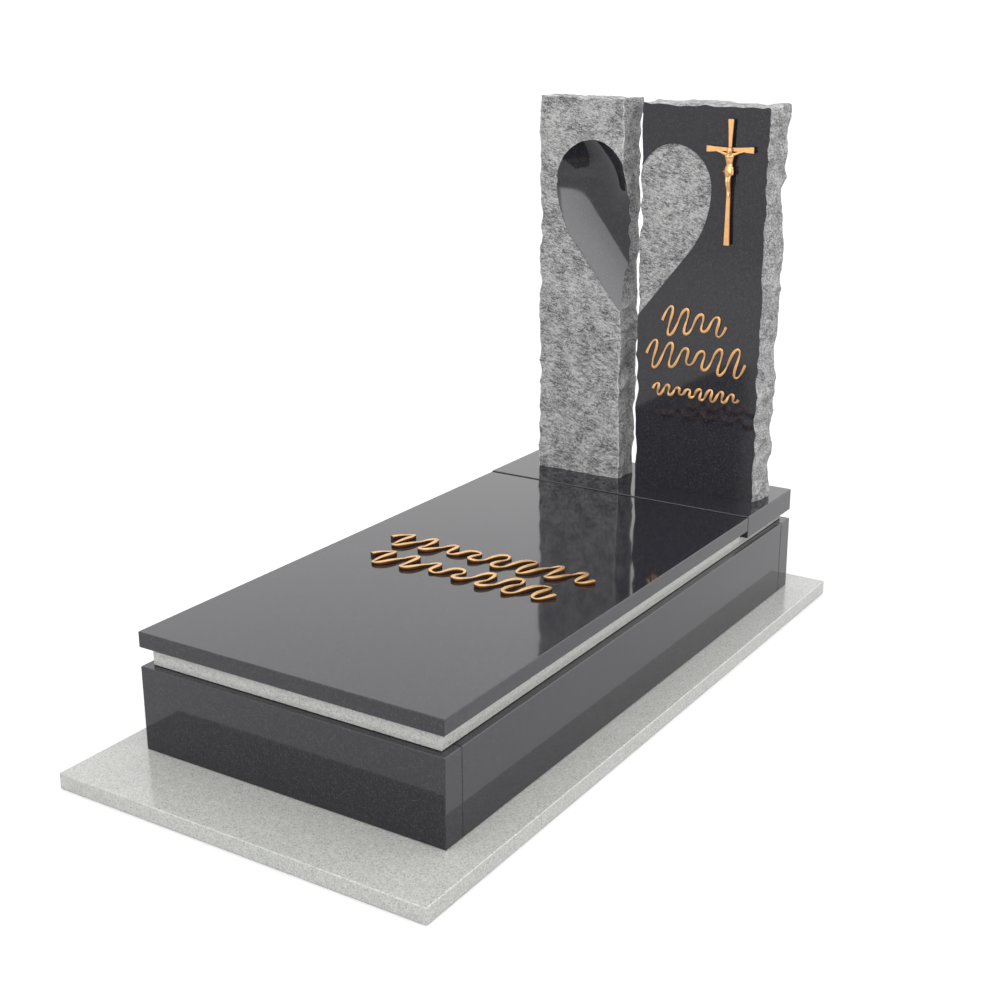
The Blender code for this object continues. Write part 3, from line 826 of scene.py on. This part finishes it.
strokes = Tree("gold_strokes")
for name, value in STROKE_SIZES.items():
    strokes.takes(name, value)
strokes.takes("Slant", STROKE_SLANT)
strokes.takes("Waves", 5, "NodeSocketInt")
strokes.takes("Steps", STROKE_STEPS, "NodeSocketInt")
strokes.takes("Metal", gold, "NodeSocketMaterial")
given = strokes.start()
share = strokes.node("GeometryNodeSplineParameter", {}, {}, "Factor")
turn = share * given["Waves"] * (2 * math.pi)
swing = (share * given["Waves"] * 2.0 - 0.0001).math("FLOOR")
tall = 0.45 + 0.55 * (0.30 * swing).math("COSINE").math("ABSOLUTE")
across = given["Half Height"] * tall * turn.math("SINE")
room = given["Length"] - 2.0 * given["Slant"] * given["Half Height"]
per_wave = (1.0 * given["Waves"]).math("POWER", -1.0)
paced = share - (2.0 * turn).math("SINE") * CROWDING * (1.0 / (2 * math.pi)) * per_wave
along = room * paced + given["Slant"] * (given["Half Height"] + across)
spot = strokes.node("ShaderNodeCombineXYZ", {}, {"X": along, "Y": across})
line = strokes.node("GeometryNodeCurvePrimitiveLine", {}, {})
spacing = {"Curve": line, "Count": given["Waves"] * given["Steps"]}
line = strokes.node("GeometryNodeResampleCurve", {}, spacing)
line = strokes.node("GeometryNodeSetPosition", {}, {"Geometry": line, "Position": spot})
section = {"Width": given["Width"], "Height": given["Thickness"]}
profile = strokes.node("GeometryNodeCurvePrimitiveQuadrilateral", {}, section)
bevel = {"Curve": profile, "Radius": given["Thickness"] * 0.2, "Count": 2}
profile = strokes.node("GeometryNodeFilletCurve", {"mode": "POLY"}, bevel)
lift = strokes.node("ShaderNodeCombineXYZ", {}, {"Y": given["Thickness"] * -0.5})
profile = strokes.node("GeometryNodeTransform", {}, {"Geometry": profile, "Translation": lift})
pen = 0.50 + 0.50 * turn.math("COSINE").math("ABSOLUTE")
sweep = {"Curve": line, "Profile Curve": profile, "Scale": pen, "Fill Caps": True}
ribbon = strokes.node("GeometryNodeCurveToMesh", {}, sweep)
ribbon = strokes.node("GeometryNodeRealizeInstances", {}, {"Geometry": ribbon})
finish = {"Geometry": ribbon, "Material": given["Metal"]}
strokes.end(strokes.node("GeometryNodeSetMaterial", {}, finish))
print("stroke tree:", len(strokes.tree.nodes), "nodes")

# %% [markdown]
# Each row is drawn lying flat, made a plain mesh, and then set in its place: the steles'
# rows are stood up against the face, and the ledger's rows stay flat.

# %% Draw the rows
SKIN = 0.0003
STROKE_ARRIS = 40
STELE_PEN = {"Width": 0.009, "Thickness": 0.004}
LEDGER_PEN = {"Width": 0.013, "Thickness": 0.0105, "Metal": flat_gold}
STELE_ROWS = {
    # margin left, margin right, height of the middle over the foot, half height, waves
    "script_row_1": (0.068, 0.090, 0.527, 0.045, 4),
    "script_row_2": (0.018, 0.024, 0.420, 0.044, 6),
    "script_row_3": (0.052, 0.050, 0.312, 0.018, 8),
}
LEDGER_ROWS = {
    # margin at each side, distance from the ledger's front, half height, waves
    "ledger_row_1": (0.105, 0.865, 0.050, 8),
    "ledger_row_2": (0.140, 0.725, 0.050, 7),
}


def stroke_row(node, values, place):
    """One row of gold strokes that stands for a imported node."""
    row = bpy.data.objects.new(node + "_gold", bpy.data.meshes.new(node))
    scene.collection.objects.link(row)
    nodes = row.modifiers.new("strokes", "NODES")
    nodes.node_group = strokes.tree
    for name, value in values.items():
        nodes[strokes.sockets[name]] = value
    made_plain(row)
    row.data.transform(place)
    shade(row, STROKE_ARRIS)
    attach(row, "root")
    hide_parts(node)
    print(node, len(row.data.polygons), "faces, mm:", [round(1000 * v) for v in row.dimensions])


stand_up = Matrix.Rotation(math.radians(90), 4, "X")
for node, (left, right, middle, half, waves) in STELE_ROWS.items():
    x0, x1 = RIGHT_STELE[:2]
    place = Matrix.Translation((x0 + left, STELE_FRONT - SKIN, STELE_FOOT + middle)) @ stand_up
    wave = {"Length": x1 - x0 - left - right, "Half Height": half, "Waves": waves}
    stroke_row(node, wave | STELE_PEN, place)
low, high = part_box("ledger")
for node, (side, from_front, half, waves) in LEDGER_ROWS.items():
    place = Matrix.Translation((low.x + side, low.y + from_front, high.z + SKIN))
    wave = {"Length": high.x - low.x - 2 * side, "Half Height": half, "Waves": waves}
    stroke_row(node, wave | LEDGER_PEN, place)

# %% [markdown]
# ## Crucifix
# Cross and figure are one casting. The cross is cut from plate, with arms that widen to
# their ends. The figure is built up from rounded forms, as a modeller adds clay: chest,
# belly, cloth, legs, arms, head. A voxel remesh then welds them into one skin, and a
# smoothing pass softens the welds as wax would. Its face is plain and calm.

# %% Cross
CROSS_LOW, CROSS_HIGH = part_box("crucifix")
CROSS_THICK = 0.006
CROSS_STANDS_OFF = 0.009
HEAD_LENGTH = 0.084
CROSS_HALF = (CROSS_HIGH.x - CROSS_LOW.x) / 2
CROSS_MIDDLE = (CROSS_LOW.x + CROSS_HIGH.x) / 2
CROSSING = Vector((CROSS_MIDDLE, STELE_FRONT - CROSS_STANDS_OFF, CROSS_HIGH.z - HEAD_LENGTH))
END_WIDTH = 0.0178
WAIST = 0.0098
FLARE = 1.3
FOOT_FLARE = 1.95
ARM_STEPS = 12
PLATE_BEVEL = 0.0009
STUD_RADIUS = 0.004
STUD_LENGTH = 0.0054
STUD_MIDDLE = 0.003


def cross_plate():
    """The cross around its crossing, as a plate with rounded edges."""
    reach = (CROSS_HALF, CROSS_HIGH.z - CROSSING.z, CROSS_HALF, CROSSING.z - CROSS_LOW.z)
    arms = zip(((1, 0), (0, 1), (-1, 0), (0, -1)), reach, (FLARE, FLARE, FLARE, FOOT_FLARE))
    points = []
    for (dx, dz), length, flare in arms:
        arm = []
        for i in range(ARM_STEPS + 1):
            share = i / ARM_STEPS
            half = WAIST / 2 + (END_WIDTH - WAIST) / 2 * share ** flare
            arm.append((WAIST / 2 + (length - WAIST / 2) * share, half))
        points += [(a * dx + h * dz, a * dz - h * dx) for a, h in arm]
        points += [(a * dx - h * dz, a * dz + h * dx) for a, h in reversed(arm[1:])]
    bm = bmesh.new()
    back = [bm.verts.new((x, 0.0, z)) for x, z in points]
    face = bm.faces.new(back)
    raised = bmesh.ops.extrude_face_region(bm, geom=[face])["geom"]
    for vertex in [v for v in raised if isinstance(v, bmesh.types.BMVert)]:
        vertex.co.y = -CROSS_THICK
    bmesh.ops.remove_doubles(bm, verts=bm.verts, dist=TOUCH)
    bmesh.ops.recalc_face_normals(bm, faces=bm.faces)
    edges = [e for e in bm.edges if len(e.link_faces) == 2 and e.calc_face_angle(0.0) > 1.0]
    bmesh.ops.bevel(bm, geom=edges, offset=PLATE_BEVEL, segments=2, affect="EDGES")
    stud = {"cap_ends": True, "segments": 20, "depth": STUD_LENGTH}
    stud.update({"radius1": STUD_RADIUS, "radius2": STUD_RADIUS})
    for z in (reach[1] - END_WIDTH, END_WIDTH - reach[3]):
        place = Matrix.Translation((0, STUD_MIDDLE, z)) @ Matrix.Rotation(math.radians(90), 4, "X")
        bmesh.ops.create_cone(bm, matrix=place, **stud)
    mesh = bpy.data.meshes.new("cross")
    bm.to_mesh(mesh)
    bm.free()
    return mesh


print("cross, mm:", [round(1000 * v) for v in CROSS_HIGH - CROSS_LOW])

# %% [markdown]
# A limb is a row of ellipses, each with its own middle, width and depth, and a skin over
# them. All sizes are shares of the figure's height, so it keeps its build at any size.

# %% Figure
FIGURE_HEIGHT = 0.142


def limb(bm, stations, sides=20):
    """A rounded form through (middle, half width, half depth) stations."""
    points = [Vector(s[0]) * FIGURE_HEIGHT for s in stations]
    rings = []
    for i, (middle, half_width, half_depth) in enumerate(stations):
        before, after = points[max(0, i - 1)], points[min(len(points) - 1, i + 1)]
        run = (after - before).normalized()
        wide = run.cross(Vector((0, 1, 0))).normalized()
        deep = wide.cross(run).normalized()
        ring = []
        for k in range(sides):
            angle = 2 * math.pi * k / sides
            offset = wide * half_width * math.cos(angle) + deep * half_depth * math.sin(angle)
            ring.append(bm.verts.new(points[i] + offset * FIGURE_HEIGHT))
        rings.append(ring)
    for a, b in zip(rings, rings[1:]):
        for k in range(sides):
            m = (k + 1) % sides
            bm.faces.new((a[k], a[m], b[m], b[k]))
    bm.faces.new(rings[0][::-1])
    bm.faces.new(rings[-1])


def ball(bm, middle, radii):
    """A rounded lump of clay."""
    place = Matrix.Translation(Vector(middle) * FIGURE_HEIGHT)
    size = Matrix.Diagonal((*[r * FIGURE_HEIGHT for r in radii], 1.0))
    bmesh.ops.create_icosphere(bm, subdivisions=3, radius=1.0, matrix=place @ size)


def figure_mesh():
    bm = bmesh.new()
    limb(bm, [  # trunk, from the neck to the hips
        ((0.004, -0.020, -0.110), 0.026, 0.026),
        ((0.002, -0.008, -0.150), 0.050, 0.036),
        ((0.0, -0.004, -0.185), 0.094, 0.050),
        ((0.0, -0.010, -0.240), 0.096, 0.064),
        ((0.002, -0.010, -0.300), 0.082, 0.060),
        ((0.004, -0.004, -0.365), 0.066, 0.048),
        ((0.004, -0.004, -0.420), 0.074, 0.052),
        ((0.002, -0.004, -0.470), 0.084, 0.058),
    ])
    for side in (-1, 1):
        limb(bm, [  # leg, from the hip to the foot
            ((side * 0.038, -0.004, -0.450), 0.044, 0.050),
            ((side * 0.036 - 0.004, -0.014, -0.540), 0.040, 0.046),
            ((side * 0.028 - 0.006, -0.034, -0.660), 0.030, 0.036),
            ((side * 0.025 - 0.008, -0.044, -0.715), 0.029, 0.032),
            ((side * 0.024 - 0.004, -0.028, -0.790), 0.028, 0.032),
            ((side * 0.020, -0.012, -0.880), 0.020, 0.022),
            ((side * 0.018, -0.008, -0.940), 0.019, 0.022),
            ((side * 0.014, -0.026 - 0.006 * side, -0.985), 0.022, 0.018),
            ((side * 0.010, -0.040 - 0.006 * side, -1.020), 0.016, 0.012),
        ])
        limb(bm, [  # arm, from the shoulder to the hand
            ((side * 0.060, -0.006, -0.188), 0.040, 0.036),
            ((side * 0.105, -0.004, -0.176), 0.034, 0.032),
            ((side * 0.165, -0.002, -0.156), 0.027, 0.026),
            ((side * 0.210, -0.002, -0.142), 0.022, 0.022),
            ((side * 0.260, 0.0, -0.126), 0.024, 0.022),
            ((side * 0.320, 0.002, -0.108), 0.016, 0.015),
            ((side * 0.350, 0.002, -0.100), 0.020, 0.012),
            ((side * 0.380, 0.002, -0.092), 0.015, 0.009),
        ])
        ball(bm, (side * 0.038, -0.062, -0.222), (0.042, 0.018, 0.030))  # breast
    limb(bm, [  # cloth round the hips
        ((0.0, -0.006, -0.418), 0.082, 0.060),
        ((0.0, -0.008, -0.445), 0.092, 0.068),
        ((-0.004, -0.014, -0.500), 0.095, 0.070),
        ((-0.006, -0.020, -0.560), 0.086, 0.064),
        ((-0.008, -0.022, -0.615), 0.066, 0.052),
    ])
    for k in range(5):  # folds that fall from the knot at the hip
        lean = 0.030 * (k - 2)
        limb(bm, [
            ((0.072, -0.050 + 0.004 * k, -0.440 - 0.006 * k), 0.010, 0.010),
            ((0.030 + lean * 0.5, -0.084, -0.490 - 0.014 * k), 0.011, 0.011),
            ((-0.050 + lean, -0.066, -0.520 - 0.022 * k), 0.009, 0.009),
        ])
    ball(bm, (0.084, -0.030, -0.450), (0.022, 0.022, 0.024))  # knot at the hip
    limb(bm, [  # end of the cloth, hanging at the hip
        ((0.084, -0.026, -0.455), 0.016, 0.016),
        ((0.090, -0.024, -0.530), 0.020, 0.014),
        ((0.082, -0.022, -0.590), 0.016, 0.010),
    ])
    head = (  # skull, cheeks, chin, nose and brow
        ((0.010, -0.056, -0.092), (0.044, 0.048, 0.056)),
        ((0.010, -0.076, -0.110), (0.034, 0.034, 0.046)),
        ((0.010, -0.100, -0.140), (0.019, 0.016, 0.020)),
        ((0.010, -0.110, -0.112), (0.007, 0.011, 0.015)),
        ((0.010, -0.101, -0.091), (0.028, 0.012, 0.008)),
    )
    for middle, radii in head:
        ball(bm, middle, radii)
    for side in (-1, 1):
        limb(bm, [  # hair beside the face
            ((0.010 + side * 0.028, -0.056, -0.056), 0.019, 0.032),
            ((0.010 + side * 0.042, -0.056, -0.102), 0.017, 0.032),
            ((0.010 + side * 0.044, -0.046, -0.152), 0.017, 0.025),
            ((0.010 + side * 0.042, -0.040, -0.184), 0.010, 0.014),
        ])
    mesh = bpy.data.meshes.new("figure")
    bmesh.ops.recalc_face_normals(bm, faces=bm.faces)
    bm.to_mesh(mesh)
    bm.free()
    return mesh


# %% [markdown]
# The forms overlap, so Remesh in voxel mode makes one skin of them. Smooth softens it,
# and the cross stays crisp because it is joined only afterwards.

# %% Weld the figure and join it to the cross
SKIN_GRAIN = 0.0008
FIGURE_SUNK = 0.001
HANDS_BELOW_HEAD = 0.084
GOLD_ARRIS = 35

figure = bpy.data.objects.new("figure", figure_mesh())
scene.collection.objects.link(figure)
weld = figure.modifiers.new("weld", "REMESH")
weld.mode = "VOXEL"
weld.voxel_size = SKIN_GRAIN
soft = figure.modifiers.new("soft", "SMOOTH")
soft.factor = 0.5
soft.iterations = 3
made_plain(figure)
hang = (0.0, FIGURE_SUNK - CROSS_THICK, HANDS_BELOW_HEAD * FIGURE_HEIGHT)
figure.data.transform(Matrix.Translation(hang))

joined = bmesh.new()
joined.from_mesh(cross_plate())
joined.from_mesh(figure.data)
mesh = bpy.data.meshes.new("crucifix_gold")
joined.to_mesh(mesh)
joined.free()
bpy.data.objects.remove(figure)
mesh.transform(Matrix.Translation(CROSSING))
mesh.materials.clear()
mesh.materials.append(gold)
crucifix = bpy.data.objects.new("crucifix_gold", mesh)
scene.collection.objects.link(crucifix)
shade(crucifix, GOLD_ARRIS)
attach(crucifix, "root")
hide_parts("crucifix")
print("crucifix:", len(mesh.polygons), "faces")

# %% [markdown]
# ## Floor
# A wide pale sheet under the border takes the soft contact shadow. It is stage, not part
# of the monument.

# %% Lay the floor
FLOOR_HALF = 40.0
FLOOR_GAP = 0.0005
PAPER_DULL = (0.43, 0.43, 0.43)
PAPER_PALE = (0.44, 0.44, 0.44)

sheet = Finish("studio_floor", (0.9, 0.9, 0.9), Roughness=0.9)
sheet.feed(Base_Color=sheet.mix(sheet.noise(0.8), PAPER_DULL, PAPER_PALE))
corners = [(x * FLOOR_HALF, y * FLOOR_HALF, 0) for x, y in ((-1, -1), (1, -1), (1, 1), (-1, 1))]
mesh = bpy.data.meshes.new("floor")
mesh.from_pydata(corners, [], [(0, 1, 2, 3)])
mesh.materials.append(sheet.material)
floor = bpy.data.objects.new("floor", mesh)
scene.collection.objects.link(floor)
floor.location.z = -FLOOR_GAP
floor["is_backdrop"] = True
print("floor:", 2 * FLOOR_HALF, "m across")

# %% [markdown]
# ## The size
# The dressed monument must stay the size of the solids. The bounds of all that is
# rendered, apart from the floor, are measured here.

# %% Measure the bounds
low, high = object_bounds()
